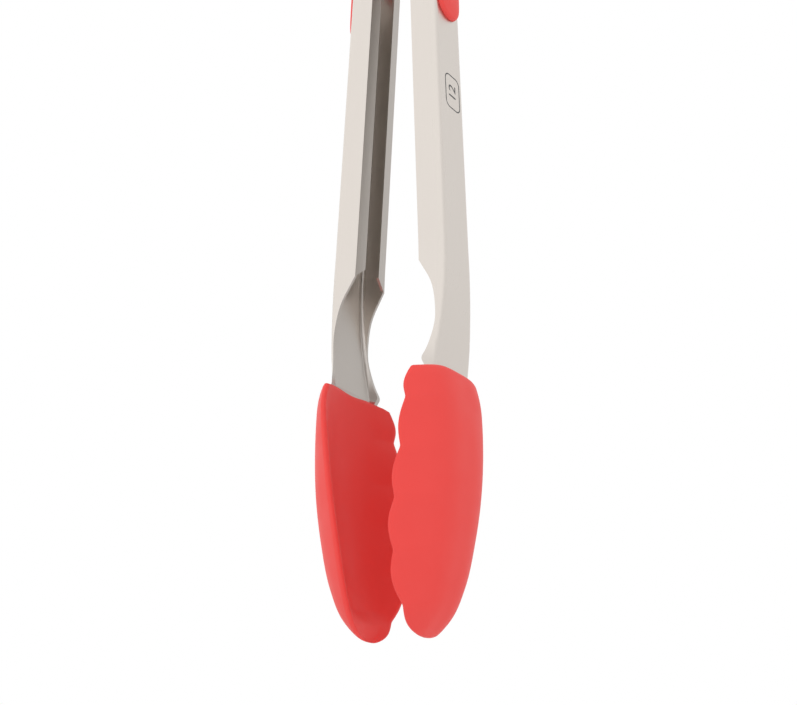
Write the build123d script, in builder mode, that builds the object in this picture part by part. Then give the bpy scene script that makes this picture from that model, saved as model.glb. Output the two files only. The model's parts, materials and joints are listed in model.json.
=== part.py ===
"""Spring loaded kitchen tongs: two pressed steel arms on a hinge pin, soft gripping heads,
thumb pads, two torsion springs and a pull-up lock with a hanging loop.

The tongs hang upright. Z is up, X is the way the arms open, Y runs along the hinge pin, and
the origin is the centre of the hole in the hanging loop. Lengths are millimetres.
"""

import os
from math import acos, atan2, cos, degrees, hypot, pi, radians, sin

from build123d import *

os.makedirs("parts", exist_ok=True)

# ---------------------------------------------------------------- driving dimensions
SHEET = 0.9  # steel sheet of the arms
ARM_LENGTH = 305.0  # hinge end to tip, the nominal twelve inches
TOP_ABOVE_PIN = 8.0  # arm's rounded end above the pin
TIP_Z = TOP_ABOVE_PIN - ARM_LENGTH  # soft tip, in the arm's own frame
STEEL_TIP_Z = TIP_Z + 7.0
PIN_Z = -24.0  # hinge pin below the loop's centre, lock pushed in
REST_ANGLE = 2.46  # each arm off the centre plane as the tongs rest

CHANNEL_HALF = 8.75  # half the width of an arm's channel
NESTED_HALF = 7.7  # the left arm narrows to this, so its ears sit inside the right's
NECKED_FROM_Z = -28.0
NECKED_TO_Z = -58.0
BACK_X = 14.8  # outer face of the web, out from the pin's axis
FLANGE_DEPTH = 9.75
EDGE_X = BACK_X - FLANGE_DEPTH
BEND_RADIUS = 2.2
EAR_X = -6.5  # the ears reach this far past the pin
SHOULDER = 6.5  # rounding of the ears' outer corner
LIP_WIDTH = 4.75
LIP_ANGLE = 82.0  # the lip's bend, just short of square
LIP_TOP_Z = -54.0
LIP_SLANT = 3.9  # the lip's ends are cut back by this much
CUT_Z = -176.3  # the flanges are cut away below here
OPEN_X = -10.0  # sections run to here, past every free edge

PIN_RADIUS = 2.5
PIN_CLEARANCE = 0.05
PIN_HEAD_RADIUS = 4.6
PIN_HEAD_HEIGHT = 1.4
WASHER_RADIUS = 5.2
WASHER_THICKNESS = 0.6
SIDE_GAP = 0.1

MOUTH_Z = -214.4  # top edge of the soft head, in the arm's own frame
SILICONE_OUTSIDE = 1.9  # over the steel's outer face
SILICONE_INSIDE = 1.2
HEAD_BEND = 6.0
RIM_FROM_Z = -212.0  # the gripping edge's curve, a half cosine
RIM_LENGTH = 75.0
SCALLOP_FIRST_Z = -227.0
SCALLOP_PITCH = 15.5
SCALLOP_COUNT = 5
SCALLOP_DEPTH = 1.0

PAD_TOP_Z = -33.0
PAD_BOTTOM_Z = -82.0
PAD_WIDTH = 14.0
PAD_PROUD = 1.7
KEY_TOP_Z = -36.0  # key that holds the pad through a slot in the web
KEY_BOTTOM_Z = -54.0
KEY_WIDTH = 4.0
KEY_INSIDE = 1.0
KEY_LAP = 1.2  # the key's head laps this far past the slot

TAB_Z = -18.0  # lanced catch tab, level of its shelf
TAB_DROP_Z = -26.0
TAB_X = 2.1
TAB_WIDTH = 3.2
WINDOW_HEIGHT = 16.0  # window in the web that the tab is bent in from

LOCK_TRAVEL = 9.0
LOCK_THICKNESS = 1.5
LOCK_HALF = 4.5
LOCK_CLEARANCE = 0.08
SHANK_HALF = 1.9
FLUKE_IN = 4.4
FLUKE_OUT = 6.4
FLUKE_TOP = -32.0
FLUKE_FLOOR = -36.5
ANCHOR_BOTTOM = -40.0

WIRE = 1.0  # spring wire
COIL_RADIUS = 3.7  # centre of the wire
COIL_PITCH = 1.03
COIL_START_Y = 2.2
LEG_REACH = 30.0

LOOP_HOLE_RADIUS = 7.0
LOOP_RADIUS = 11.5
LOOP_THICKNESS = 4.0
EYE_INNER = 8.2
EYE_OUTER = 10.2


# ---------------------------------------------------------------- cross-sections of an arm
class Section:
    """A trough's cross-section: the back's face and half width, and the same of a free edge."""

    def __init__(self, z, back_x, back_half, edge_x, edge_half, bend):
        self.z = z
        self.back_x = back_x
        self.back_half = back_half
        self.edge_x = edge_x
        self.edge_half = edge_half
        self.bend = bend

    def slope(self):
        """Sideways run of the wall for each millimetre towards the free edge."""
        return (self.edge_half - self.back_half) / (self.back_x - self.edge_x)

    def half_at(self, x):
        return self.back_half + self.slope() * (self.back_x - x)

    def inside(self, gap):
        """The parallel section this far inside the wall."""
        lean = gap * hypot(1.0, self.slope())
        return Section(
            self.z,
            self.back_x - gap,
            self.half_at(self.back_x - gap) - lean,
            self.edge_x,
            self.edge_half - lean,
            max(self.bend - gap, 0.8),
        )

    def face(self):
        """The closed outline, filled, from the back to OPEN_X."""
        with BuildSketch(Plane.XY.offset(self.z)) as outline:
            with BuildLine():
                Polyline(
                    (OPEN_X, -self.half_at(OPEN_X)),
                    (self.back_x, -self.back_half),
                    (self.back_x, self.back_half),
                    (OPEN_X, self.half_at(OPEN_X)),
                    close=True,
                )
            make_face()
            fillet(outline.vertices().group_by(Axis.X)[-1], self.bend)
        return outline.sketch


def channel_sections(top_half):
    """The straight channel, necked in towards the hinge where top_half says so."""
    straight = [
        (TOP_ABOVE_PIN + 1, top_half),
        (NECKED_FROM_Z, top_half),
        (NECKED_TO_Z, CHANNEL_HALF),
        (CUT_Z + 6, CHANNEL_HALF),
    ]
    return [Section(z, BACK_X, half, EDGE_X, half, BEND_RADIUS) for z, half in straight]


HEAD_SECTIONS = [
    Section(MOUTH_Z, 13.7, 10.7, 5.8, 16.0, HEAD_BEND - 1.5),
    Section(MOUTH_Z - 9.6, 15.0, 13.3, 5.4, 19.8, HEAD_BEND),
    Section(MOUTH_Z - 25.6, 15.5, 14.2, 3.4, 20.8, HEAD_BEND),
    Section(MOUTH_Z - 41.6, 14.2, 13.9, 1.0, 20.2, HEAD_BEND),
    Section(MOUTH_Z - 57.6, 11.2, 12.6, -1.6, 18.4, HEAD_BEND),
    Section(MOUTH_Z - 71.6, 7.0, 10.6, -3.0, 15.6, HEAD_BEND - 1),
    Section(TIP_Z, 0.6, 8.0, -3.0, 12.0, HEAD_BEND - 3),
]

NECK_TOP_Z = CUT_Z + 6
NECK_STEPS = 10


def neck_section(step):
    """The neck between channel and spoon: its back sinks in and its walls flare out."""
    along = step / NECK_STEPS
    back_x = BACK_X - 4.4 * along**2.2
    back_half = CHANNEL_HALF + 1.25 * along
    flare = 5.1 * along**3.5
    z = NECK_TOP_Z + (MOUTH_Z - NECK_TOP_Z) * along
    return Section(z, back_x, back_half, back_x - 3.0, back_half + flare, BEND_RADIUS)


NECK_SECTIONS = [neck_section(step) for step in range(NECK_STEPS + 1)]
SPOON_SECTIONS = NECK_SECTIONS[-1:] + [
    section.inside(SILICONE_OUTSIDE) for section in HEAD_SECTIONS[1:]
]


def rim_x(z):
    """Free edge of the head, between its scallops: a half cosine from mouth to tip."""
    along = min((RIM_FROM_Z - z) / RIM_LENGTH, 1.0)
    return 6.2 - 4.5 * (1.0 - cos(pi * along))


# ---------------------------------------------------------------- outlines that trim the arm
def arm_side_view():
    """Side view of the steel: ear, straight flange edge, waist cut and the spoon's edge."""
    with BuildSketch(Plane.XZ) as side:
        with BuildLine():
            ear = Spline(
                (2.0, TOP_ABOVE_PIN),
                (EAR_X, 0.5),
                tangents=[(-1, 0), (0, -1)],
            )
            hip = Spline(
                ear @ 1,
                (EAR_X, -9.0),
                (EDGE_X, -34.0),
                tangents=[(0, -1), (0, -1)],
            )
            edge = Line(hip @ 1, (EDGE_X, CUT_Z))
            waist = Spline(
                edge @ 1,
                (9.75, CUT_Z - 9.3),
                (11.1, CUT_Z - 16.7),
                (11.2, CUT_Z - 22.7),
                (10.0, CUT_Z - 29.0),
                (8.5, CUT_Z - 34.5),
                (8.3, MOUTH_Z),
                tangents=[(0.5, -1), (0.35, -1)],
            )
            spoon = Spline(
                waist @ 1,
                (10.0, MOUTH_Z - 6),
                (rim_x(MOUTH_Z - 30) + 5.4, MOUTH_Z - 30),
                (rim_x(TIP_Z) + 4.6, STEEL_TIP_Z),
                tangents=[(0.35, -1), (0.0, -1)],
            )
            Polyline(
                spoon @ 1,
                (BACK_X + 2, STEEL_TIP_Z),
                (BACK_X + 2, TOP_ABOVE_PIN - SHOULDER),
                (BACK_X, TOP_ABOVE_PIN - SHOULDER),
            )
            RadiusArc(
                (BACK_X, TOP_ABOVE_PIN - SHOULDER),
                (BACK_X - SHOULDER, TOP_ABOVE_PIN),
                -SHOULDER,
            )
            Line((BACK_X - SHOULDER, TOP_ABOVE_PIN), ear @ 0)
        make_face()
    return side.sketch


def head_side_view(scallop_depth):
    """Side view of the soft head: a gripping edge of shallow scallops, or a plain one."""
    with BuildSketch(Plane.XZ) as side:
        with BuildLine():
            corner = TangentArc(
                (rim_x(MOUTH_Z) + 4, MOUTH_Z),
                (rim_x(MOUTH_Z - 4), MOUTH_Z - 4),
                tangent=(-1, 0),
            )
            last = corner @ 1
            for k in range(SCALLOP_COUNT):
                notch_z = SCALLOP_FIRST_Z - k * SCALLOP_PITCH
                middle_z = (last.Y + notch_z) / 2
                ThreePointArc(
                    last,
                    (rim_x(middle_z) - scallop_depth, middle_z),
                    (rim_x(notch_z), notch_z),
                )
                last = Vector(rim_x(notch_z), notch_z)
            Polyline(
                last,
                (rim_x(TIP_Z), TIP_Z),
                (BACK_X + 4, TIP_Z),
                (BACK_X + 4, MOUTH_Z),
                corner @ 0,
            )
        make_face()
    return side.sketch


def front_view(half_width, tip_z, tip_length):
    """Front view of a spoon: straight sides and a long elliptical end."""
    shoulder_z = tip_z + tip_length
    with BuildSketch(Plane.YZ) as front:
        with BuildLine():
            Polyline(
                (-half_width, shoulder_z),
                (-half_width, TOP_ABOVE_PIN + 4),
                (half_width, TOP_ABOVE_PIN + 4),
                (half_width, shoulder_z),
            )
            EllipticalCenterArc(
                (0, shoulder_z), half_width, tip_length, start_angle=180, arc_size=180
            )
        make_face()
    return front.sketch


def upright_slot(top_z, bottom_z, width):
    """An outline on the web, straight sided with round ends."""
    with BuildSketch(Plane.YZ) as outline:
        with Locations((0, (top_z + bottom_z) / 2)):
            SlotOverall(top_z - bottom_z, width, rotation=90)
    return outline.sketch


# ---------------------------------------------------------------- the steel arms
def make_arm(top_half):
    """One pressed steel arm, its web towards +X and the pin's axis through its origin."""
    sections = channel_sections(top_half)
    with BuildPart() as arm:
        loft([section.face() for section in sections], ruled=True)
        loft([section.face() for section in NECK_SECTIONS])
        loft([section.face() for section in SPOON_SECTIONS], ruled=True)
        for run, straight in (
            (sections, True),
            (NECK_SECTIONS, False),
            (SPOON_SECTIONS, True),
        ):
            loft(
                [section.inside(SHEET).face() for section in run],
                ruled=straight,
                mode=Mode.SUBTRACT,
            )
        extrude(arm_side_view(), amount=40, both=True, mode=Mode.INTERSECT)
        extrude(front_view(18.0, STEEL_TIP_Z, 46.0), amount=40, both=True, mode=Mode.INTERSECT)

        # lips turned in along both flanges, each end cut back on a slant
        lean = LIP_WIDTH * cos(radians(LIP_ANGLE))
        reach = LIP_WIDTH * sin(radians(LIP_ANGLE))
        for side in (-1, 1):
            with BuildSketch(Plane.XY.offset(CUT_Z)) as lip_end:
                with BuildLine():
                    Polyline(
                        (EDGE_X, side * CHANNEL_HALF),
                        (EDGE_X - lean, side * (CHANNEL_HALF - reach)),
                        (EDGE_X - lean + SHEET, side * (CHANNEL_HALF - reach)),
                        (EDGE_X + SHEET, side * (CHANNEL_HALF - SHEET / 2)),
                        close=True,
                    )
                make_face()
            with BuildSketch(Plane.YZ) as lip_front:
                with BuildLine():
                    free_y = side * (CHANNEL_HALF - reach)
                    Polyline(
                        (side * CHANNEL_HALF, CUT_Z),
                        (free_y, CUT_Z + LIP_SLANT),
                        (free_y, LIP_TOP_Z - LIP_SLANT),
                        (side * CHANNEL_HALF, LIP_TOP_Z),
                        close=True,
                    )
                make_face()
            lip = extrude(lip_end.sketch, amount=LIP_TOP_Z - CUT_Z, mode=Mode.PRIVATE)
            add(lip & extrude(lip_front.sketch, amount=20, mode=Mode.PRIVATE))

        # window in the web, and the catch tab bent in from its lower edge
        with BuildSketch(Plane.YZ) as window:
            with Locations((0, TAB_Z + WINDOW_HEIGHT / 2)):
                SlotOverall(WINDOW_HEIGHT, TAB_WIDTH + 1.8, rotation=90)
        extrude(window.sketch, amount=BACK_X + 2, mode=Mode.SUBTRACT)
        with BuildSketch(Plane.XZ) as tab:
            with BuildLine():
                Polyline(
                    (BACK_X - SHEET / 2, TAB_Z),
                    (TAB_X, TAB_Z),
                    (TAB_X, TAB_DROP_Z),
                    (TAB_X + SHEET, TAB_DROP_Z),
                    (TAB_X + SHEET, TAB_Z - SHEET),
                    (BACK_X - SHEET / 2, TAB_Z - SHEET),
                    close=True,
                )
            make_face()
        extrude(tab.sketch, amount=TAB_WIDTH / 2, both=True)

        # slot for the thumb pad's key
        key_slot = upright_slot(KEY_TOP_Z, KEY_BOTTOM_Z, KEY_WIDTH)
        extrude(key_slot, amount=BACK_X + 2, mode=Mode.SUBTRACT)

        # holes in the spoon that key the soft head, and the bore for the pin
        with BuildSketch(Plane.YZ) as keys:
            with Locations((0, MOUTH_Z - 14)):
                with GridLocations(11.0, 17.0, 2, 3):
                    Circle(2.0)
        extrude(
            keys.sketch.moved(Location((0, 0, -15.0))),
            amount=BACK_X + 2,
            mode=Mode.SUBTRACT,
        )
        with BuildSketch(Plane.XZ) as bore:
            Circle(PIN_RADIUS + PIN_CLEARANCE)
        extrude(bore.sketch, amount=12, both=True, mode=Mode.SUBTRACT)
    return arm.part


def make_head(steel, way):
    """The soft head moulded over an arm's spoon. One rim is scalloped, the one towards way."""
    with BuildPart() as head:
        loft([section.face() for section in HEAD_SECTIONS])
        hollow = SILICONE_OUTSIDE + SHEET + SILICONE_INSIDE
        mouth = NECK_SECTIONS[-1].inside(SHEET + SILICONE_INSIDE)
        rest = [section.inside(hollow) for section in HEAD_SECTIONS[1:]]
        loft(
            [section.face() for section in [mouth] + rest],
            ruled=True,
            mode=Mode.SUBTRACT,
        )
        scalloped = head_side_view(SCALLOP_DEPTH)
        plain = head_side_view(0.1)
        halves = extrude(scalloped, amount=-40 * way, mode=Mode.PRIVATE)
        halves += extrude(plain, amount=40 * way, mode=Mode.PRIVATE)
        add(halves, mode=Mode.INTERSECT)
        extrude(front_view(21.0, TIP_Z, 42.0), amount=40, both=True, mode=Mode.INTERSECT)
        add(steel, mode=Mode.SUBTRACT)
    return head.part


def make_thumb_pad():
    """A soft pad on the web's outer face, held by a key through the web."""
    with BuildPart() as pad:
        face = upright_slot(PAD_TOP_Z, PAD_BOTTOM_Z, PAD_WIDTH)
        extrude(face.moved(Location((BACK_X, 0, 0))), amount=PAD_PROUD)
        fillet(pad.edges().group_by(Axis.X)[-1], PAD_PROUD * 0.8)
        key = upright_slot(KEY_TOP_Z, KEY_BOTTOM_Z, KEY_WIDTH)
        extrude(key.moved(Location((BACK_X - SHEET, 0, 0))), amount=SHEET)
        key_head = upright_slot(
            KEY_TOP_Z + KEY_LAP, KEY_BOTTOM_Z - KEY_LAP, KEY_WIDTH + 2 * KEY_LAP
        )
        extrude(
            key_head.moved(Location((BACK_X - SHEET - KEY_INSIDE, 0, 0))),
            amount=KEY_INSIDE,
        )
    return pad.part


def stand(part, side):
    """Puts a piece from the arm's frame onto the pin, on the right (1) or the left (-1)."""
    piece = part if side > 0 else mirror(part, about=Plane.YZ)
    return piece.moved(Location((0, 0, PIN_Z), (0, -side * REST_ANGLE, 0)))


def keep(part, name):
    part.label = name
    export_step(part, f"parts/{name}.step")


for word, side, top_half in (("right", 1, CHANNEL_HALF), ("left", -1, NESTED_HALF)):
    steel = make_arm(top_half)
    keep(stand(steel, side), f"{word}_arm")
    keep(stand(make_head(steel, -side), side), f"{word}_head")
    keep(stand(make_thumb_pad(), side), f"{word}_thumb_pad")

# ---------------------------------------------------------------- hinge pin and washer
PIN_LENGTH = 2 * (CHANNEL_HALF + SIDE_GAP)
with BuildPart(Plane.XZ.offset(-CHANNEL_HALF - SIDE_GAP - WASHER_THICKNESS)) as hinge_pin:
    with Locations((0, PIN_Z, 0)):
        Cylinder(
            PIN_RADIUS,
            PIN_LENGTH + WASHER_THICKNESS,
            align=(Align.CENTER, Align.CENTER, Align.MIN),
        )
    with Locations((0, PIN_Z, -PIN_HEAD_HEIGHT)):
        Cylinder(
            PIN_HEAD_RADIUS - 0.8,
            PIN_HEAD_HEIGHT,
            align=(Align.CENTER, Align.CENTER, Align.MIN),
        )
    with Locations((0, PIN_Z, PIN_LENGTH + WASHER_THICKNESS)):
        Cylinder(
            PIN_HEAD_RADIUS,
            PIN_HEAD_HEIGHT,
            align=(Align.CENTER, Align.CENTER, Align.MIN),
        )
    ends = hinge_pin.edges().filter_by(GeomType.CIRCLE)
    fillet([ends.sort_by(Axis.Y)[0], ends.sort_by(Axis.Y)[-1]], 0.9)
keep(hinge_pin.part, "hinge_pin")

with BuildPart(Plane.XZ.offset(-CHANNEL_HALF - SIDE_GAP - WASHER_THICKNESS)) as pin_washer:
    with Locations((0, PIN_Z, 0)):
        Cylinder(
            WASHER_RADIUS,
            WASHER_THICKNESS,
            align=(Align.CENTER, Align.CENTER, Align.MIN),
        )
        Cylinder(
            PIN_RADIUS,
            WASHER_THICKNESS,
            align=(Align.CENTER, Align.CENTER, Align.MIN),
            mode=Mode.SUBTRACT,
        )
keep(pin_washer.part, "pin_washer")

# ---------------------------------------------------------------- torsion springs
# Each leg lies along the tangent from the coil to a point on the inner face of an arm's web.
rest = radians(REST_ANGLE)
web_face = BACK_X - SHEET - WIRE / 2 - 0.03
touch = Vector(
    web_face * cos(rest) + LEG_REACH * sin(rest),
    web_face * sin(rest) - LEG_REACH * cos(rest),
)
leg_angle = atan2(touch.Y, touch.X) + acos(COIL_RADIUS / touch.length)
leg_start = Vector(COIL_RADIUS * cos(leg_angle), COIL_RADIUS * sin(leg_angle))
COIL_TURNS = 3 + (180 - 2 * degrees(leg_angle)) / 360
COIL_HEIGHT = COIL_PITCH * COIL_TURNS

with BuildPart() as spring:
    with BuildLine() as coil_line:
        Helix(COIL_PITCH, COIL_HEIGHT, COIL_RADIUS, center=(0, 0, COIL_START_Y))
    coil = coil_line.line.moved(Location((0, 0, 0), (0, 0, degrees(leg_angle))))
    with BuildSketch(Plane(origin=coil @ 0, z_dir=coil % 0)) as wire:
        Circle(WIRE / 2)
    sweep(wire.sketch, path=coil)
    for side in (1, -1):
        foot_y = COIL_START_Y if side > 0 else COIL_START_Y + COIL_HEIGHT
        top = Vector(side * leg_start.X, leg_start.Y, foot_y)
        foot = Vector(side * touch.X, touch.Y, foot_y)
        with BuildLine() as leg_line:
            Line(top, foot)
        with BuildSketch(Plane(origin=top, z_dir=foot - top)) as leg_wire:
            Circle(WIRE / 2)
        sweep(leg_wire.sketch, path=leg_line.line)

front_spring = Plane.XZ.location * spring.part
front_spring = front_spring.moved(Location((0, 0, PIN_Z)))
keep(front_spring, "spring_front")
keep(mirror(front_spring, about=Plane.XZ), "spring_back")

# ---------------------------------------------------------------- lock plate
with BuildPart() as lock_plate:
    with BuildSketch(Plane.XZ):
        Circle(EYE_OUTER)
        with BuildLine():
            Polyline(
                (-LOCK_HALF, -7.0),
                (-LOCK_HALF, PIN_Z - LOCK_TRAVEL - 4.5),
                (-SHANK_HALF, PIN_Z - LOCK_TRAVEL - 6.5),
                (-SHANK_HALF, PIN_Z + FLUKE_FLOOR),
                (-FLUKE_IN, PIN_Z + FLUKE_FLOOR),
                (-FLUKE_IN, PIN_Z + FLUKE_TOP),
                (-FLUKE_OUT, PIN_Z + FLUKE_TOP),
                (-FLUKE_OUT, PIN_Z + FLUKE_FLOOR - 1.5),
                (-SHANK_HALF, PIN_Z + ANCHOR_BOTTOM),
                (SHANK_HALF, PIN_Z + ANCHOR_BOTTOM),
                (FLUKE_OUT, PIN_Z + FLUKE_FLOOR - 1.5),
                (FLUKE_OUT, PIN_Z + FLUKE_TOP),
                (FLUKE_IN, PIN_Z + FLUKE_TOP),
                (FLUKE_IN, PIN_Z + FLUKE_FLOOR),
                (SHANK_HALF, PIN_Z + FLUKE_FLOOR),
                (SHANK_HALF, PIN_Z - LOCK_TRAVEL - 6.5),
                (LOCK_HALF, PIN_Z - LOCK_TRAVEL - 4.5),
                (LOCK_HALF, -7.0),
                close=True,
            )
        make_face()
        Circle(EYE_INNER, mode=Mode.SUBTRACT)
        with Locations((0, PIN_Z - LOCK_TRAVEL / 2)):
            slot_radius = PIN_RADIUS + LOCK_CLEARANCE
            SlotCenterToCenter(
                LOCK_TRAVEL, 2 * slot_radius, rotation=90, mode=Mode.SUBTRACT
            )
    extrude(amount=LOCK_THICKNESS / 2, both=True)
keep(lock_plate.part, "lock_plate")

with BuildPart() as hang_loop:
    with BuildSketch(Plane.XZ):
        Circle(LOOP_RADIUS)
        Circle(LOOP_HOLE_RADIUS, mode=Mode.SUBTRACT)
    extrude(amount=LOOP_THICKNESS / 2, both=True)
    fillet(hang_loop.edges().filter_by(GeomType.CIRCLE).sort_by(SortBy.RADIUS)[-2:], 1.2)
    add(lock_plate.part, mode=Mode.SUBTRACT)
keep(hang_loop.part, "hang_loop")
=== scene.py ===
import json
from math import acos, asin, atan2, cos, pi, radians, sin

import bmesh
import bpy
import numpy as np
from bpy.props import FloatProperty, FloatVectorProperty, IntProperty, PointerProperty
from mathutils import Matrix, Vector


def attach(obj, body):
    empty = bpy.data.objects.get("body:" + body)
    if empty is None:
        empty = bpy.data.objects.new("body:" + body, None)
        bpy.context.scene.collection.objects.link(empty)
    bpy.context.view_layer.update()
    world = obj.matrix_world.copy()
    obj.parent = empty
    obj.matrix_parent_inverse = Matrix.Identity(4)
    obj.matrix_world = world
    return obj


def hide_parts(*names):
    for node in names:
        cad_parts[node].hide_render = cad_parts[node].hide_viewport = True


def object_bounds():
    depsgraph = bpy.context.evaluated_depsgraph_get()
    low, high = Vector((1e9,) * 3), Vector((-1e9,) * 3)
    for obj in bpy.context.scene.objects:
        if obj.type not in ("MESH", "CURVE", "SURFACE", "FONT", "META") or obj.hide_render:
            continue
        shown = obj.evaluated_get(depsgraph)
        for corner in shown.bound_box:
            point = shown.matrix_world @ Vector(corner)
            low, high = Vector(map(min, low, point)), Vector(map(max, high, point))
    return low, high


bl_info = {
    "name": "Kitchen Tongs",
    "version": (1, 0, 0),
    "blender": (4, 5, 0),
    "location": "3D View > Sidebar > Tongs",
    "description": "Soft heads, pads, loop, springs and finishes for spring loaded tongs",
    "category": "Object",
}

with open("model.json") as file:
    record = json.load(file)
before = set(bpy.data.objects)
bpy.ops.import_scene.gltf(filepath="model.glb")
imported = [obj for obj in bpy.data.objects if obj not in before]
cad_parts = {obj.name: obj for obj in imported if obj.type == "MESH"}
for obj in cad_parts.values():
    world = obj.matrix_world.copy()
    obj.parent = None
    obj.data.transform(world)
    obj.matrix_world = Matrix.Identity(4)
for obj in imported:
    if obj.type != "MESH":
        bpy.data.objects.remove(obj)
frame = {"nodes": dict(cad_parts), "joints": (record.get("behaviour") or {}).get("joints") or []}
cad_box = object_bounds()

MM = 0.001
JOINTS = {joint["name"]: joint for joint in frame["joints"]}
PIN = Vector(JOINTS["left_arm_swing"]["pos_m"]) / MM
REST_ANGLE = radians(2.46)  # each arm off the centre plane at rest
SIDES = (("right", 1), ("left", -1))

# Lengths from here on are millimetres, in an arm's own frame: the pin's axis at the origin,
# the web upright and outwards along +X.
BACK_X = 14.8  # outer face of the web
SHEET = 0.9
MOUTH_Z = -214.4  # top edge of the soft head
TIP_Z = -297.0


# ------------------------------------------------------------------ settings
class HeadSettings(bpy.types.PropertyGroup):
    colour: FloatVectorProperty(
        name="Silicone colour",
        description="Colour of the heads, pads and loop",
        subtype="COLOR",
        size=4,
        default=(0.785, 0.058, 0.050, 1.0),
    )
    half_width: FloatProperty(
        name="Half width",
        description="Half the head's width at its widest, in mm",
        default=20.8,
    )
    wall: FloatProperty(
        name="Wall", description="Thickness over and under the steel, in mm", default=3.9
    )
    rim: FloatProperty(
        name="Rim", description="Thickness of the gripping rim, in mm", default=2.4
    )
    scallop_pitch: FloatProperty(
        name="Scallop pitch", description="Spacing of the rim's notches, in mm", default=15.5
    )
    scallop_depth: FloatProperty(
        name="Scallop depth", description="How far each lobe stands out, in mm", default=1.5
    )
    levels: IntProperty(
        name="Levels", description="Rows of the head's mesh, mouth to tip", default=150
    )


class SteelSettings(bpy.types.PropertyGroup):
    colour: FloatVectorProperty(
        name="Steel colour",
        description="Colour of the brushed stainless steel",
        subtype="COLOR",
        size=4,
        default=(0.755, 0.70, 0.648, 1.0),
    )
    grain: FloatProperty(
        name="Brushing", description="Height of the brushed grain, in mm", default=0.012
    )


class SpringSettings(bpy.types.PropertyGroup):
    wire: FloatProperty(name="Wire", description="Wire diameter, in mm", default=1.0)
    coil_radius: FloatProperty(
        name="Coil radius", description="Pin's axis to the wire's centre, in mm", default=3.7
    )
    pitch: FloatProperty(name="Pitch", description="Rise of one turn, in mm", default=1.03)
    start: FloatProperty(
        name="Start", description="First turn's distance from the centre plane, in mm", default=2.2
    )
    reach: FloatProperty(
        name="Leg reach",
        description="Where a leg touches its arm, below the pin, in mm",
        default=30.0,
    )


class StageSettings(bpy.types.PropertyGroup):
    floor_drop: FloatProperty(
        name="Floor drop",
        description="Height of the tips above the floor",
        default=0.16,
        unit="LENGTH",
    )
    distance: FloatProperty(
        name="Camera distance",
        description="From the camera to the middle of the view",
        default=0.4689,
        unit="LENGTH",
    )


# ------------------------------------------------------------------ shape helpers
def place(points, side):
    """Points in mm in an arm's frame, turned to the arm's rest place, in metres."""
    x, y, z = np.asarray(points, float).T
    turned_x = side * (x * cos(REST_ANGLE) - z * sin(REST_ANGLE))
    turned_z = x * sin(REST_ANGLE) + z * cos(REST_ANGLE) + PIN.z
    return np.stack([turned_x, y, turned_z], 1) * MM


def new_piece(name, points, faces):
    """A smooth mesh object from points in metres, its faces turned outwards."""
    mesh = bpy.data.meshes.new(name)
    mesh.from_pydata([tuple(p) for p in points], [], [tuple(f) for f in faces])
    shape = bmesh.new()
    shape.from_mesh(mesh)
    bmesh.ops.remove_doubles(shape, verts=shape.verts, dist=1e-6)
    bmesh.ops.recalc_face_normals(shape, faces=shape.faces)
    if shape.calc_volume(signed=True) < 0:
        bmesh.ops.reverse_faces(shape, faces=shape.faces)
    for face in shape.faces:
        face.smooth = True
    shape.to_mesh(mesh)
    shape.free()
    piece = bpy.data.objects.new(name, mesh)
    bpy.context.scene.collection.objects.link(piece)
    return piece


def tube_faces(rows, columns):
    """Quads between closed rings of points."""
    faces = []
    for i in range(rows - 1):
        for j in range(columns):
            k = (j + 1) % columns
            a, b = i * columns + j, i * columns + k
            faces.append((a, b, b + columns, a + columns))
    return faces


def through(keys, z):
    """A smooth curve through (z, value) keys, read at the levels z."""
    keys = sorted(keys)
    at = np.array([k[0] for k in keys])
    value = np.array([k[1] for k in keys])
    slope = np.gradient(value, at)
    i = np.clip(np.searchsorted(at, z) - 1, 0, len(at) - 2)
    run = at[i + 1] - at[i]
    t = (z - at[i]) / run
    return (
        (2 * t**3 - 3 * t**2 + 1) * value[i]
        + (t**3 - 2 * t**2 + t) * run * slope[i]
        + (3 * t**2 - 2 * t**3) * value[i + 1]
        + (t**3 - t**2) * run * slope[i + 1]
    )


def ease(t):
    t = np.clip(t, 0.0, 1.0)
    return t * t * (3 - 2 * t)


# ------------------------------------------------------------------ the soft head
WIDEST_Z = -244.0
SHOULDER = 11.0  # the mouth widens to full width over this height
SHOULDER_RISE = 6.2
CAVITY_END = 4.0  # solid silicone at the tip
HEAD_BACK = [  # (level, outer face of the back)
    (-212.0, 13.4),
    (-222.0, 15.0),
    (-236.0, 15.7),
    (-252.0, 14.7),
    (-268.0, 11.9),
    (-282.0, 8.3),
    (-291.0, 4.1),
    (TIP_Z, -1.4),
]
RIM_FROM_Z = -212.0  # the gripping edge's curve, a half cosine
RIM_LENGTH = 75.0
BACK_POWER = 3.4  # how square the head's outer section is
HOLLOW_POWER = 2.0  # and its hollow's
LIP_SHARE = 0.85  # how far round the rim its rounding runs into the hollow
RIM_CAP = 0.42  # height of the rim's rounding, as a share of its thickness
CORNER = 6.5  # rounding of the rim's upper corner
CORNER_DROP = 0.22  # how far it falls back, as a share of that
TIP_POWER = 2.3  # how blunt the tip is
FIRST_NOTCH_Z = -227.0
MOUTH_ROLL = 2.2  # rounding of the mouth's top edge
ROLL_SHARE = 0.94  # at most this much of half the wall
ROLL_TURN = np.linspace(pi / 2, 0, 9)


def rim_line(z):
    """The gripping edge without its scallops: a half cosine from mouth to tip."""
    along = np.clip((RIM_FROM_Z - z) / RIM_LENGTH, 0.0, 1.0)
    return 6.2 - 4.5 * (1.0 - np.cos(pi * along))


def tip_closing(z, end_z):
    s = np.clip((WIDEST_Z - z) / (WIDEST_Z - end_z), 0.0, 1.0)
    return (1 - s**TIP_POWER) ** (1 / TIP_POWER)


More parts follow.
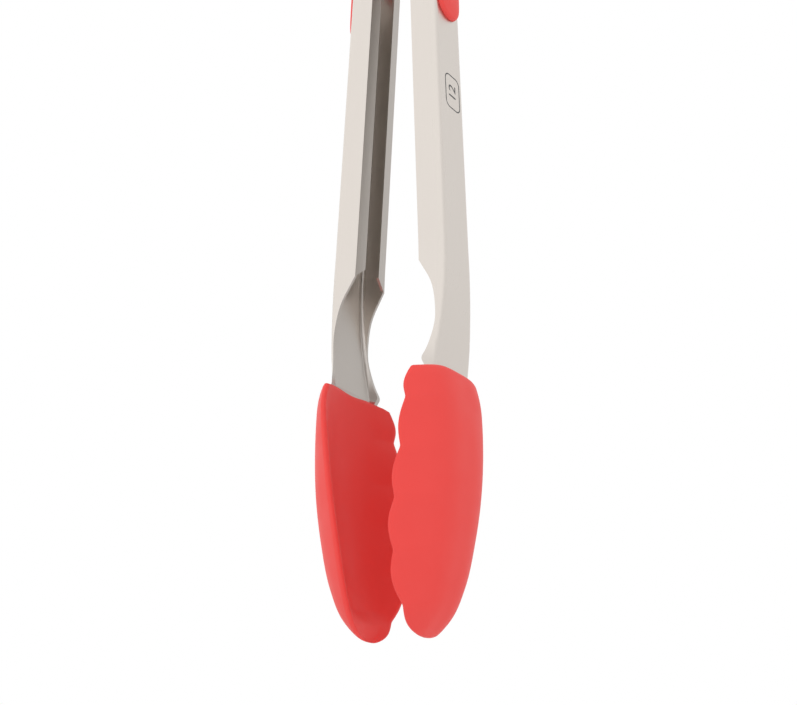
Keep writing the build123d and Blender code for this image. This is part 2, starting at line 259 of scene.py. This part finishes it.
def head_half_width(z, settings):
    up = 1 - np.clip((MOUTH_Z - z) / SHOULDER, 0.0, 1.0)
    shoulder = settings.half_width - SHOULDER_RISE * (1 - np.sqrt(1 - up**2))
    return shoulder * tip_closing(z, TIP_Z)


def section_steps(count, power, width, depth):
    """Places across a section, from rim to rim, evenly spaced along its curve."""
    t = np.linspace(-1, 1, 2001)
    x = depth * (1 - np.abs(t) ** power)
    run = np.hypot(np.diff(x), np.diff(t * width))
    length = np.concatenate([[0.0], np.cumsum(run)])
    return np.interp(np.linspace(0, length[-1], count), length, t)


def head_rings(settings, way):
    """Closed rings of the head: outer face, rounded rim, hollow and the other rim.

    The rim on the side that way points to is scalloped.
    """
    t = np.linspace(0, 1, settings.levels)[1:]
    top = MOUTH_Z - MOUTH_ROLL
    level = top + (TIP_Z - top) * (0.3 * t + 0.7 * (0.5 - 0.5 * np.cos(pi * t)))
    level = np.concatenate([top + MOUTH_ROLL * np.sin(ROLL_TURN), level])
    half = head_half_width(level, settings)
    back = through(HEAD_BACK, level)
    lobe = np.abs(np.sin(pi * (FIRST_NOTCH_Z - level) / settings.scallop_pitch))
    closing = tip_closing(level, TIP_Z)
    lobe = (np.sqrt(lobe**2 + 0.006) - 0.08) * ease(closing / 0.5)
    lobe = lobe * (0.25 + 0.75 * ease((FIRST_NOTCH_Z + 10 - level) / 8))
    corner = 1 - np.clip((MOUTH_Z - level) / CORNER, 0.0, 1.0)
    edge = rim_line(level) + CORNER * CORNER_DROP * (1 - np.sqrt(1 - corner**2))
    rim = settings.rim * np.minimum(1.0, half / (2.2 * settings.rim))
    cap = RIM_CAP * rim
    depth = np.maximum(back - edge - cap, 0.0) * np.minimum(1.0, 3 * closing)
    mouth_wall = 0.8 * np.exp((level - MOUTH_Z) / 8.0)
    open_share = ease((level - TIP_Z - CAVITY_END) / 7.0)
    inner_depth = np.maximum(depth - settings.wall - mouth_wall, 0.0) * open_share

    across = section_steps(57, BACK_POWER, 20.0, 12.0)
    turn = pi - asin(LIP_SHARE)
    bend = np.linspace(0, turn, 9)[1:-1]
    rings = []
    for i, z in enumerate(level):
        base = edge[i] + cap[i]
        round_half = rim[i] / 2
        lip = base - LIP_SHARE * cap[i]  # where the rim's rounding runs into the hollow
        inner_half = half[i] - round_half * (1 - cos(turn))
        hollow = inner_depth[i] + LIP_SHARE * cap[i]
        outer = [(base + depth[i] * (1 - abs(u) ** BACK_POWER), half[i] * u) for u in across]
        inner = [
            (lip + hollow * (1 - abs(u) ** HOLLOW_POWER), inner_half * u) for u in across[::-1]
        ]
        middle = half[i] - round_half
        caps = [(base - cap[i] * sin(a), middle + round_half * cos(a)) for a in bend]
        ring = np.array(outer + caps + inner + [(x, -y) for x, y in caps[::-1]])
        edge_share = ease((way * ring[:, 1] / max(half[i], 1e-6) - 0.45) / 0.5)
        ring[:, 0] -= settings.scallop_depth * lobe[i] * edge_share
        ring[:, 1] += 0.3 * way * settings.scallop_depth * lobe[i] * edge_share * closing[i]
        rings.append([(x, y, z) for x, y in ring])
    return rings, len(across), len(bend)


def roll_mouth(rings, count, caps):
    """Turn the wall over to a rounded top edge, as far as its thickness lets it."""
    size = len(rings[0])
    partner = (2 * count + caps - 1 - np.arange(size)) % size
    for i, angle in enumerate(ROLL_TURN):
        points = np.array(rings[i])
        middle = (points + points[partner]) / 2
        middle[count : count + caps] = middle[count - 1]
        middle[2 * count + caps :] = middle[0]
        reach = np.linalg.norm(points - middle, axis=1, keepdims=True)
        roll = np.minimum(MOUTH_ROLL, ROLL_SHARE * reach)
        points += (middle - points) * roll * (1 - cos(angle)) / np.maximum(reach, 1e-6)
        points[:, 2:] = MOUTH_Z - MOUTH_ROLL + roll * sin(angle)
        rings[i] = points
    return partner


def build_head(name, side, settings):
    rings, count, caps = head_rings(settings, -side)
    partner = roll_mouth(rings, count, caps)
    size = len(rings[0])
    points = np.concatenate(rings)
    faces = tube_faces(len(rings), size)
    for j in range(count - 1):
        faces.append((j, partner[j], partner[j + 1], j + 1))
    for j in range(count - 1, count + caps):
        k, m = j + 1, 2 * count + caps - 1 - j
        if k < m - 1:
            faces.append((j, m, m - 1, k))
        elif k == m - 1:
            faces.append((j, m, k))
    first = 2 * count + caps - 1
    near = [j % size for j in range(first, first + caps + 2)]
    for a in range((caps + 1) // 2):
        b = caps + 1 - a
        if a + 1 < b - 1:
            faces.append((near[a], near[b], near[b - 1], near[a + 1]))
        elif a + 1 == b - 1:
            faces.append((near[a], near[b], near[a + 1]))
    return new_piece(name, place(points, side), faces)


# ------------------------------------------------------------------ thumb pads and loop
PAD = (-33.0, -82.0, 14.0)  # top, bottom and width of the pad
PAD_KEY = (-36.0, -54.0, 4.0)  # and of its key, through the web
PAD_PROUD = 1.7
PAD_CROWN = 0.5
PAD_EDGE = 1.5
AROUND = 128


def slot_ring(slot, grow, x):
    """An upright slot's outline grown by grow, at this distance out, as a closed ring."""
    top, bottom, width = slot
    radius = max(width / 2 + grow, 0.0)
    straight = (top - bottom - width) / 2
    angle = np.linspace(0, 2 * pi, AROUND, endpoint=False)
    y = radius * np.cos(angle)
    z = (top + bottom) / 2 + radius * np.sin(angle) + straight * np.tanh(5 * np.sin(angle))
    return np.stack([np.full_like(y, x), y, z], 1)


def build_pad(name, side):
    half = PAD[2] / 2
    rows = []
    for grow in np.linspace(-half, -PAD_EDGE, 9):
        crown = PAD_CROWN * (1 - ((half + grow) / (half - PAD_EDGE)) ** 2)
        rows.append(slot_ring(PAD, grow, BACK_X + PAD_PROUD + crown))
    for angle in np.linspace(0, pi / 2, 9)[1:]:
        drop, grow = PAD_EDGE * (1 - cos(angle)), -PAD_EDGE * (1 - sin(angle))
        rows.append(slot_ring(PAD, grow, BACK_X + PAD_PROUD - drop))
    rows.append(slot_ring(PAD, -0.1, BACK_X))
    inside = BACK_X - SHEET
    rows.append(slot_ring(PAD_KEY, 0.0, BACK_X))
    rows.append(slot_ring(PAD_KEY, 0.0, inside))
    for grow, x in ((1.1, 0.0), (1.2, 0.1), (1.2, 0.7), (0.9, 1.0), (-PAD_KEY[2] / 2, 1.0)):
        rows.append(slot_ring(PAD_KEY, grow, inside - x))
    return new_piece(name, place(np.concatenate(rows), side), tube_faces(len(rows), AROUND))


LOOP_HOLE = 7.0
LOOP_OUTER = 11.5
LOOP_HALF = 2.0  # half the loop's thickness
LOOP_TAIL = 2.4  # the loop reaches this much further down, round the plate


def build_loop(name):
    """The loop round the lock plate's eye: a soft ring drawn down to a short tail."""
    around = np.linspace(0, 2 * pi, 160, endpoint=False)
    section = np.linspace(0, 2 * pi, 40, endpoint=False)
    tail = LOOP_TAIL * np.exp(-(((around - 1.5 * pi) / 0.42) ** 2))
    rows = []
    for angle, extra in zip(around, tail):
        half_width = (LOOP_OUTER - LOOP_HOLE + extra) / 2
        middle = (LOOP_OUTER + LOOP_HOLE + extra) / 2
        c, s = np.cos(section), np.sin(section)
        across = half_width * np.sign(c) * np.abs(c) ** 0.62
        thick = (LOOP_HALF - 0.1 * extra) * np.sign(s) * np.abs(s) ** 0.62
        reach = middle + across
        rows.append(np.stack([reach * cos(angle), thick, reach * sin(angle)], 1))
    rows.append(rows[0])
    return new_piece(name, np.concatenate(rows) * MM, tube_faces(len(rows), 40))


# ------------------------------------------------------------------ springs
def wire_group(name, coil):
    """Geometry nodes for a round wire, a coil about Z or a straight leg between two points."""
    group = bpy.data.node_groups.new(name, "GeometryNodeTree")
    face = group.interface
    face.new_socket("Geometry", in_out="OUTPUT", socket_type="NodeSocketGeometry")
    if coil:
        plain = [("Turns", "Float"), ("Coil Radius", "Float"), ("Rise", "Float")]
    else:
        plain = [("Start", "Vector"), ("End", "Vector")]
    for label, kind in plain + [("Wire Radius", "Float"), ("Material", "Material")]:
        face.new_socket(label, in_out="INPUT", socket_type="NodeSocket" + kind)
    nodes, link = group.nodes, group.links.new
    given = nodes.new("NodeGroupInput")
    result = nodes.new("NodeGroupOutput")
    if coil:
        path = nodes.new("GeometryNodeCurveSpiral")
        path.inputs["Resolution"].default_value = 64
        link(given.outputs["Turns"], path.inputs["Rotations"])
        link(given.outputs["Coil Radius"], path.inputs["Start Radius"])
        link(given.outputs["Coil Radius"], path.inputs["End Radius"])
        link(given.outputs["Rise"], path.inputs["Height"])
    else:
        line = nodes.new("GeometryNodeCurvePrimitiveLine")
        link(given.outputs["Start"], line.inputs["Start"])
        link(given.outputs["End"], line.inputs["End"])
        path = nodes.new("GeometryNodeResampleCurve")
        path.inputs["Count"].default_value = 24
        link(line.outputs["Curve"], path.inputs["Curve"])
    section = nodes.new("GeometryNodeCurvePrimitiveCircle")
    section.inputs["Resolution"].default_value = 24
    link(given.outputs["Wire Radius"], section.inputs["Radius"])
    skin = nodes.new("GeometryNodeCurveToMesh")
    skin.inputs["Fill Caps"].default_value = True
    link(path.outputs["Curve"], skin.inputs["Curve"])
    link(section.outputs["Curve"], skin.inputs["Profile Curve"])
    smooth = nodes.new("GeometryNodeSetShadeSmooth")
    real = nodes.new("GeometryNodeRealizeInstances")
    paint = nodes.new("GeometryNodeSetMaterial")
    link(skin.outputs["Mesh"], smooth.inputs["Geometry"])
    link(smooth.outputs["Geometry"], real.inputs["Geometry"])
    link(real.outputs["Geometry"], paint.inputs["Geometry"])
    link(given.outputs["Material"], paint.inputs["Material"])
    link(paint.outputs["Geometry"], result.inputs["Geometry"])
    return group


def wire_piece(name, group, values, matrix):
    """A mesh object of the group's wire with these inputs, put in place by matrix."""
    holder = bpy.data.objects.new(name + "_path", bpy.data.meshes.new(name + "_path"))
    bpy.context.scene.collection.objects.link(holder)
    live = holder.modifiers.new("Wire", "NODES")
    live.node_group = group
    sockets = {s.name: s.identifier for s in group.interface.items_tree if s.in_out == "INPUT"}
    for label, value in values.items():
        live[sockets[label]] = value
    graph = bpy.context.evaluated_depsgraph_get()
    mesh = bpy.data.meshes.new_from_object(holder.evaluated_get(graph))
    bpy.data.objects.remove(holder)
    mesh.name = name
    mesh.transform(matrix)
    if matrix.determinant() < 0:
        mesh.flip_normals()
    piece = bpy.data.objects.new(name, mesh)
    bpy.context.scene.collection.objects.link(piece)
    return piece


# ------------------------------------------------------------------ finishes
PAINTED_SHADE_SHARE = 0.69  # painted shade: an arm's inside faces are this share as bright as its outside


def shader(name):
    """A new material's node tree and its main shader."""
    material = bpy.data.materials.new(name)
    material.use_nodes = True
    tree = material.node_tree
    return material, tree, tree.nodes["Principled BSDF"]


def grain(tree, scale, detail=3.0, tilt=0.0):
    """A noise texture stretched by scale, in object space."""
    place_of = tree.nodes.new("ShaderNodeTexCoord")
    turn = tree.nodes.new("ShaderNodeMapping")
    turn.inputs["Rotation"].default_value = (0.0, tilt, 0.0)
    stretch = tree.nodes.new("ShaderNodeMapping")
    stretch.inputs["Scale"].default_value = scale
    noise = tree.nodes.new("ShaderNodeTexNoise")
    noise.inputs["Scale"].default_value = 1.0
    noise.inputs["Detail"].default_value = detail
    tree.links.new(place_of.outputs["Object"], turn.inputs["Vector"])
    tree.links.new(turn.outputs["Vector"], stretch.inputs["Vector"])
    tree.links.new(stretch.outputs["Vector"], noise.inputs["Vector"])
    return noise.outputs["Fac"]


def ranged(tree, value, low, high):
    """value, read between its usual limits and moved to low..high."""
    node = tree.nodes.new("ShaderNodeMapRange")
    node.inputs["From Min"].default_value = 0.3
    node.inputs["From Max"].default_value = 0.7
    node.inputs["To Min"].default_value = low
    node.inputs["To Max"].default_value = high
    tree.links.new(value, node.inputs["Value"])
    return node.outputs["Result"]


def bumped(tree, main, height, distance, strength=1.0):
    bump = tree.nodes.new("ShaderNodeBump")
    bump.inputs["Strength"].default_value = strength
    bump.inputs["Distance"].default_value = distance
    tree.links.new(height, bump.inputs["Height"])
    tree.links.new(bump.outputs["Normal"], main.inputs["Normal"])


def paint_inside_shade(tree, main, settings, side):
    """Paints shade on the steel where it faces the other arm, darkening its colour by a given
    share.
    """
    facing = tree.nodes.new("ShaderNodeNewGeometry")
    inward = tree.nodes.new("ShaderNodeVectorMath")
    inward.operation = "DOT_PRODUCT"
    inward.inputs[1].default_value = (-side, 0.0, 0.0)
    share = tree.nodes.new("ShaderNodeMapRange")
    share.interpolation_type = "SMOOTHSTEP"
    share.inputs["From Min"].default_value = 0.2
    share.inputs["From Max"].default_value = 0.75
    mix = tree.nodes.new("ShaderNodeMix")
    mix.data_type = "RGBA"
    mix.inputs["A"].default_value = settings.colour
    # painted shade: the inside faces take a darker copy of the steel colour
    painted_shade = [PAINTED_SHADE_SHARE * c for c in settings.colour[:3]]
    mix.inputs["B"].default_value = painted_shade + [1.0]
    tree.links.new(facing.outputs["Normal"], inward.inputs[0])
    tree.links.new(inward.outputs["Value"], share.inputs["Value"])
    tree.links.new(share.outputs["Result"], mix.inputs["Factor"])
    tree.links.new(mix.outputs["Result"], main.inputs["Base Color"])


def steel_finish(name, settings, scale, roughness, side=0):
    """Stainless steel with a grain along one axis, faint smudges and, on an arm, painted inside
    shade.
    """
    material, tree, main = shader(name)
    tilt = side * REST_ANGLE
    main.inputs["Base Color"].default_value = settings.colour
    if side:
        # painted shade on the faces toward the other arm
        paint_inside_shade(tree, main, settings, side)
    main.inputs["Metallic"].default_value = 1.0
    lines = grain(tree, scale, 4.0, tilt)
    smudge = grain(tree, (60.0, 60.0, 25.0), 2.0)
    rough = tree.nodes.new("ShaderNodeMath")
    rough.operation = "ADD"
    tree.links.new(ranged(tree, lines, roughness - 0.05, roughness + 0.05), rough.inputs[0])
    tree.links.new(ranged(tree, smudge, -0.02, 0.03), rough.inputs[1])
    tree.links.new(rough.outputs["Value"], main.inputs["Roughness"])
    bumped(tree, main, lines, settings.grain * MM)
    return material


def silicone_finish(name, settings):
    """Matt silicone: a little light passes under its surface, and its skin is finely uneven."""
    material, tree, main = shader(name)
    main.inputs["Base Color"].default_value = settings.colour
    main.inputs["IOR"].default_value = 1.41
    main.inputs["Subsurface Weight"].default_value = 0.12
    main.inputs["Subsurface Radius"].default_value = (1.0, 0.25, 0.2)
    main.inputs["Subsurface Scale"].default_value = 0.0025
    patches = grain(tree, (90.0, 90.0, 90.0), 2.0)
    tree.links.new(ranged(tree, patches, 0.46, 0.56), main.inputs["Roughness"])
    skin = grain(tree, (2600.0, 2600.0, 2600.0), 2.0)
    bumped(tree, main, skin, 0.02 * MM, 0.6)
    return material


def wear(piece, material):
    piece.data.materials.clear()
    piece.data.materials.append(material)


def shared_silicone():
    made = bpy.data.materials.get("Silicone")
    return made or silicone_finish("Silicone", bpy.context.scene.tongs_heads)


# ------------------------------------------------------------------ operators
class TONGS_OT_heads(bpy.types.Operator):
    """Build both soft gripping heads"""

    bl_idname = "tongs.heads"
    bl_label = "Soft heads"

    def execute(self, context):
        for word, side in SIDES:
            head = build_head(f"soft_head_{word}", side, context.scene.tongs_heads)
            wear(head, shared_silicone())
            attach(head, f"{word}_arm")
            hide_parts(f"{word}_head")
        return {"FINISHED"}


class TONGS_OT_thumb_pads(bpy.types.Operator):
    """Build the soft pads on the arms' webs, each with its key"""

    bl_idname = "tongs.thumb_pads"
    bl_label = "Thumb pads"

    def execute(self, context):
        for word, side in SIDES:
            pad = build_pad(f"soft_pad_{word}", side)
            wear(pad, shared_silicone())
            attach(pad, f"{word}_arm")
            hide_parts(f"{word}_thumb_pad")
        return {"FINISHED"}


class TONGS_OT_hang_loop(bpy.types.Operator):
    """Build the hanging loop moulded round the lock plate's eye"""

    bl_idname = "tongs.hang_loop"
    bl_label = "Hanging loop"

    def execute(self, context):
        loop = build_loop("soft_loop")
        wear(loop, shared_silicone())
        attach(loop, "lock")
        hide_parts("hang_loop")
        return {"FINISHED"}


class TONGS_OT_springs(bpy.types.Operator):
    """Wind both torsion springs: each coil stays on the pin, its legs go with the arms"""

    bl_idname = "tongs.springs"
    bl_label = "Torsion springs"

    def execute(self, context):
        given = context.scene.tongs_springs
        steel = steel_finish("Spring wire", context.scene.tongs_steel, (400.0,) * 3, 0.26)
        radius = given.coil_radius
        web_x = BACK_X - SHEET - given.wire / 2 - 0.03
        touch = Vector(
            (
                web_x * cos(REST_ANGLE) + given.reach * sin(REST_ANGLE),
                web_x * sin(REST_ANGLE) - given.reach * cos(REST_ANGLE),
            )
        )
        leave = atan2(touch.y, touch.x) + acos(radius / touch.length)
        turns = 3 + (pi - 2 * leave) / (2 * pi)
        spare = radians(3)  # the coil runs on under each leg, so no gap opens as an arm closes
        coil_nodes = wire_group("Spring coil", True)
        leg_nodes = wire_group("Spring leg", False)
        for word, way in (("front", -1), ("back", 1)):
            # the coil is wound about Z; this lays its axis along Y, away from the middle
            upright = Matrix(
                ((1, 0, 0, PIN.x), (0, 0, way, 0), (0, 1, 0, PIN.z), (0, 0, 0, 1))
            )
            upright = Matrix.Scale(MM, 4) @ upright
            all_turns = turns + 2 * spare / (2 * pi)
            start = given.start - given.pitch * spare / (2 * pi)
            wound = (
                upright
                @ Matrix.Translation((0, 0, start))
                @ Matrix.Rotation(leave - spare, 4, "Z")
            )
            values = {
                "Turns": all_turns,
                "Coil Radius": radius,
                "Rise": given.pitch * all_turns,
                "Wire Radius": given.wire / 2,
                "Material": steel,
            }
            coil = wire_piece(f"spring_coil_{word}", coil_nodes, values, wound)
            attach(coil, "hinge")
            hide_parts(f"spring_{word}")
            ends = (("right", 1, given.start), ("left", -1, given.start + given.pitch * turns))
            for arm, side, level in ends:
                values = {
                    "Start": (side * radius * cos(leave), radius * sin(leave), level),
                    "End": (side * touch.x, touch.y, level),
                    "Wire Radius": given.wire / 2,
                    "Material": steel,
                }
                leg = wire_piece(f"spring_leg_{word}_{arm}", leg_nodes, values, upright)
                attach(leg, f"{arm}_arm")
        return {"FINISHED"}


class TONGS_OT_steelwork(bpy.types.Operator):
    """Brush the arms, paint shade on their inside faces, and finish the pin, its washer and the
    lock plate
    """

    bl_idname = "tongs.steelwork"
    bl_label = "Steelwork"

    def execute(self, context):
        given = context.scene.tongs_steel
        for word, side in SIDES:
            # each arm's material paints shade on its inside faces
            brushed = steel_finish(
                f"Brushed steel with painted shade {word}", given, (5200.0, 5200.0, 60.0), 0.33, side
            )
            arm = frame["nodes"][f"{word}_arm"]
            wear(arm, brushed)
        turned = steel_finish("Turned steel", given, (900.0, 6000.0, 900.0), 0.22)
        for node in ("hinge_pin", "pin_washer"):
            wear(frame["nodes"][node], turned)
        stamped = steel_finish("Stamped steel", given, (3000.0, 900.0, 120.0), 0.36)
        wear(frame["nodes"]["lock_plate"], stamped)
        return {"FINISHED"}


MARK_Z = -111.5
MARK_Y = 1.2
MARK_HEIGHT = 13.5  # along the arm
MARK_WIDTH = 9.4
MARK_LINE = 0.45


def mark_outline():
    """The mark's border: points and faces of a thin rounded frame, as (across, along)."""
    points = []
    for inset in (0.0, MARK_LINE):
        corner = 2.6 - inset
        for quarter in range(4):
            cx = (MARK_WIDTH / 2 - 2.6) * (1 if quarter in (0, 3) else -1)
            cz = (MARK_HEIGHT / 2 - 2.6) * (1 if quarter in (0, 1) else -1)
            for step in range(12):
                angle = (quarter + step / 11) * pi / 2
                points.append((cx + corner * cos(angle), cz + corner * sin(angle)))
    faces = [(i, (i + 1) % 48, (i + 1) % 48 + 48, i + 48) for i in range(48)]
    return points, faces


class TONGS_OT_etched_mark(bpy.types.Operator):
    """Etch a plain size mark, twelve inches, on the right arm"""

    bl_idname = "tongs.etched_mark"
    bl_label = "Etched mark"

    def execute(self, context):
        text = bpy.data.curves.new("size_text", "FONT")
        text.body = "12"
        text.size = 6.4
        text.align_x = "CENTER"
        text.align_y = "CENTER"
        writing = bpy.data.objects.new("size_text", text)
        context.scene.collection.objects.link(writing)
        graph = context.evaluated_depsgraph_get()
        mesh = bpy.data.meshes.new_from_object(writing.evaluated_get(graph))
        points, faces = mark_outline()
        letters = [(-v.co.y, v.co.x) for v in mesh.vertices]
        faces = faces + [tuple(i + len(points) for i in p.vertices) for p in mesh.polygons]
        points = points + letters
        bpy.data.objects.remove(writing)
        bpy.data.meshes.remove(mesh)
        local = [(BACK_X + 0.02, MARK_Y + a, MARK_Z + b) for a, b in points]
        mark = new_piece("etched_mark", place(local, 1), faces)
        material, tree, main = shader("Etched steel")
        main.inputs["Base Color"].default_value = (0.12, 0.12, 0.12, 1.0)
        main.inputs["Metallic"].default_value = 0.6
        tree.links.new(
            ranged(tree, grain(tree, (3000.0,) * 3), 0.55, 0.75), main.inputs["Roughness"]
        )
        wear(mark, material)
        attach(mark, "right_arm")
        return {"FINISHED"}


FLOOR_FADE = (0.25, 1.1)  # the floor turns clear between these distances, in metres
SKY = (1.12, 1.34)  # brightness below and above
CARD_TOWARD = (0.76, 0.6, 0.25)  # middle of a soft dark card beside the tongs
CARD_EDGES = (66, 30)  # it starts and is full at these angles from its middle, in degrees
CARD_SHARE = 0.83
LAMPS = (  # (name, place, side, watts)
    ("key", (-0.75, -0.95, 0.45), 0.9, 2.6),
    ("fill", (1.05, -0.55, -0.1), 1.0, 1.6),
)
VIEW_ANGLES = (33.166, -20.335, 0.706)  # azimuth, elevation and roll, in degrees
VIEW_TARGET = (-0.000619, 0.0, -0.22677)


class TONGS_OT_stage(bpy.types.Operator):
    """Set up the floor, the studio light and the camera"""

    bl_idname = "tongs.stage"
    bl_label = "Stage"

    def execute(self, context):
        given = context.scene.tongs_stage
        scene = context.scene
        low = cad_box[0].z
        floor = new_piece(
            "floor",
            [(x, y, low - given.floor_drop) for x, y in ((-3, -3), (3, -3), (3, 3), (-3, 3))],
            [(0, 1, 2, 3)],
        )
        material, tree, main = shader("Floor")
        main.inputs["Base Color"].default_value = (0.86, 0.86, 0.86, 1.0)
        main.inputs["Roughness"].default_value = 0.7
        clear = tree.nodes.new("ShaderNodeBsdfTransparent")
        fade = tree.nodes.new("ShaderNodeMixShader")
        place_of = tree.nodes.new("ShaderNodeTexCoord")
        shift = tree.nodes.new("ShaderNodeMapping")
        shift.inputs["Location"].default_value = (0.0, 0.0, given.floor_drop - low)
        length = tree.nodes.new("ShaderNodeVectorMath")
        length.operation = "LENGTH"
        reach = tree.nodes.new("ShaderNodeMapRange")
        reach.interpolation_type = "SMOOTHSTEP"
        reach.inputs["From Min"].default_value = FLOOR_FADE[0]
        reach.inputs["From Max"].default_value = FLOOR_FADE[1]
        tree.links.new(place_of.outputs["Object"], shift.inputs["Vector"])
        tree.links.new(shift.outputs["Vector"], length.inputs[0])
        tree.links.new(length.outputs["Value"], reach.inputs["Value"])
        tree.links.new(reach.outputs["Result"], fade.inputs["Fac"])
        tree.links.new(main.outputs["BSDF"], fade.inputs[1])
        tree.links.new(clear.outputs["BSDF"], fade.inputs[2])
        tree.links.new(fade.outputs["Shader"], tree.nodes["Material Output"].inputs["Surface"])
        wear(floor, material)

        world = bpy.data.worlds.new("Studio")
        scene.world = world
        world.use_nodes = True
        tree = world.node_tree
        tree.nodes.clear()
        out = tree.nodes.new("ShaderNodeOutputWorld")
        both = tree.nodes.new("ShaderNodeMixShader")
        seen = tree.nodes.new("ShaderNodeLightPath")
        plain = tree.nodes.new("ShaderNodeBackground")
        plain.inputs["Color"].default_value = (1.0, 1.0, 1.0, 1.0)
        lit = tree.nodes.new("ShaderNodeBackground")
        way = tree.nodes.new("ShaderNodeTexCoord")
        parts = tree.nodes.new("ShaderNodeSeparateXYZ")
        height = tree.nodes.new("ShaderNodeMapRange")
        height.inputs["From Min"].default_value = -1.0
        height.inputs["From Max"].default_value = 1.0
        height.inputs["To Min"].default_value = SKY[0]
        height.inputs["To Max"].default_value = SKY[1]
        tree.links.new(way.outputs["Generated"], parts.inputs["Vector"])
        tree.links.new(parts.outputs["Z"], height.inputs["Value"])
        toward = tree.nodes.new("ShaderNodeVectorMath")
        toward.operation = "DOT_PRODUCT"
        toward.inputs[1].default_value = Vector(CARD_TOWARD).normalized()
        card = tree.nodes.new("ShaderNodeMapRange")
        card.interpolation_type = "SMOOTHSTEP"
        card.inputs["From Min"].default_value = cos(radians(CARD_EDGES[0]))
        card.inputs["From Max"].default_value = cos(radians(CARD_EDGES[1]))
        card.inputs["To Min"].default_value = 1.0
        card.inputs["To Max"].default_value = CARD_SHARE
        dimmed = tree.nodes.new("ShaderNodeMath")
        dimmed.operation = "MULTIPLY"
        tree.links.new(way.outputs["Generated"], toward.inputs[0])
        tree.links.new(toward.outputs["Value"], card.inputs["Value"])
        tree.links.new(height.outputs["Result"], dimmed.inputs[0])
        tree.links.new(card.outputs["Result"], dimmed.inputs[1])
        tree.links.new(dimmed.outputs["Value"], lit.inputs["Strength"])
        tree.links.new(seen.outputs["Is Camera Ray"], both.inputs["Fac"])
        tree.links.new(lit.outputs["Background"], both.inputs[1])
        tree.links.new(plain.outputs["Background"], both.inputs[2])
        tree.links.new(both.outputs["Shader"], out.inputs["Surface"])

        aim = Vector((0.0, 0.0, (low + cad_box[1].z) / 2))
        for name, spot, size, power in LAMPS:
            lamp = bpy.data.lights.new(name, "AREA")
            lamp.shape = "SQUARE"
            lamp.size = size
            lamp.energy = power
            light = bpy.data.objects.new(name, lamp)
            light.visible_glossy = False
            light.location = spot
            light.rotation_euler = (aim - Vector(spot)).to_track_quat("-Z", "Y").to_euler()
            scene.collection.objects.link(light)

        camera = bpy.data.objects.new("camera", bpy.data.cameras.new("camera"))
        azimuth, elevation, roll = (radians(angle) for angle in VIEW_ANGLES)
        back = Vector(
            (sin(azimuth) * cos(elevation), -cos(azimuth) * cos(elevation), sin(elevation))
        )
        right = Vector((cos(azimuth), sin(azimuth), 0.0))
        up = back.cross(right)
        level = Matrix((right, up, back)).transposed().to_4x4()
        target = Vector(VIEW_TARGET)
        camera.matrix_world = (
            Matrix.Translation(target + back * given.distance)
            @ level
            @ Matrix.Rotation(roll, 4, "Z")
        )
        camera.data.lens = 64.32
        camera.data.sensor_width = 36.0
        camera.data.clip_start = 0.01
        camera.data.clip_end = 20.0
        camera.data.dof.use_dof = False
        scene.collection.objects.link(camera)
        scene.camera = camera
        scene.view_settings.view_transform = "Standard"
        return {"FINISHED"}


# ------------------------------------------------------------------ add-on
OPERATORS = (
    TONGS_OT_heads,
    TONGS_OT_thumb_pads,
    TONGS_OT_hang_loop,
    TONGS_OT_springs,
    TONGS_OT_steelwork,
    TONGS_OT_etched_mark,
    TONGS_OT_stage,
)
GROUPS = (
    ("tongs_heads", HeadSettings),
    ("tongs_steel", SteelSettings),
    ("tongs_springs", SpringSettings),
    ("tongs_stage", StageSettings),
)


class TONGS_PT_panel(bpy.types.Panel):
    """The tongs' pieces and their settings"""

    bl_label = "Kitchen Tongs"
    bl_idname = "TONGS_PT_panel"
    bl_space_type = "VIEW_3D"
    bl_region_type = "UI"
    bl_category = "Tongs"

    def draw(self, context):
        for operator in OPERATORS:
            self.layout.operator(operator.bl_idname)
        for name, group in GROUPS:
            box = self.layout.box()
            for setting in group.__annotations__:
                box.prop(getattr(context.scene, name), setting)


def register():
    for name, group in GROUPS:
        bpy.utils.register_class(group)
        setattr(bpy.types.Scene, name, PointerProperty(type=group))
    for operator in OPERATORS:
        bpy.utils.register_class(operator)
    bpy.utils.register_class(TONGS_PT_panel)


def unregister():
    bpy.utils.unregister_class(TONGS_PT_panel)
    for operator in reversed(OPERATORS):
        bpy.utils.unregister_class(operator)
    for name, group in reversed(GROUPS):
        delattr(bpy.types.Scene, name)
        bpy.utils.unregister_class(group)


def main():
    register()
    bpy.ops.tongs.heads()
    bpy.ops.tongs.thumb_pads()
    bpy.ops.tongs.hang_loop()
    bpy.ops.tongs.springs()
    bpy.ops.tongs.steelwork()
    bpy.ops.tongs.etched_mark()
    bpy.ops.tongs.stage()
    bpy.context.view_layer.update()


if __name__ == "__main__":
    main()
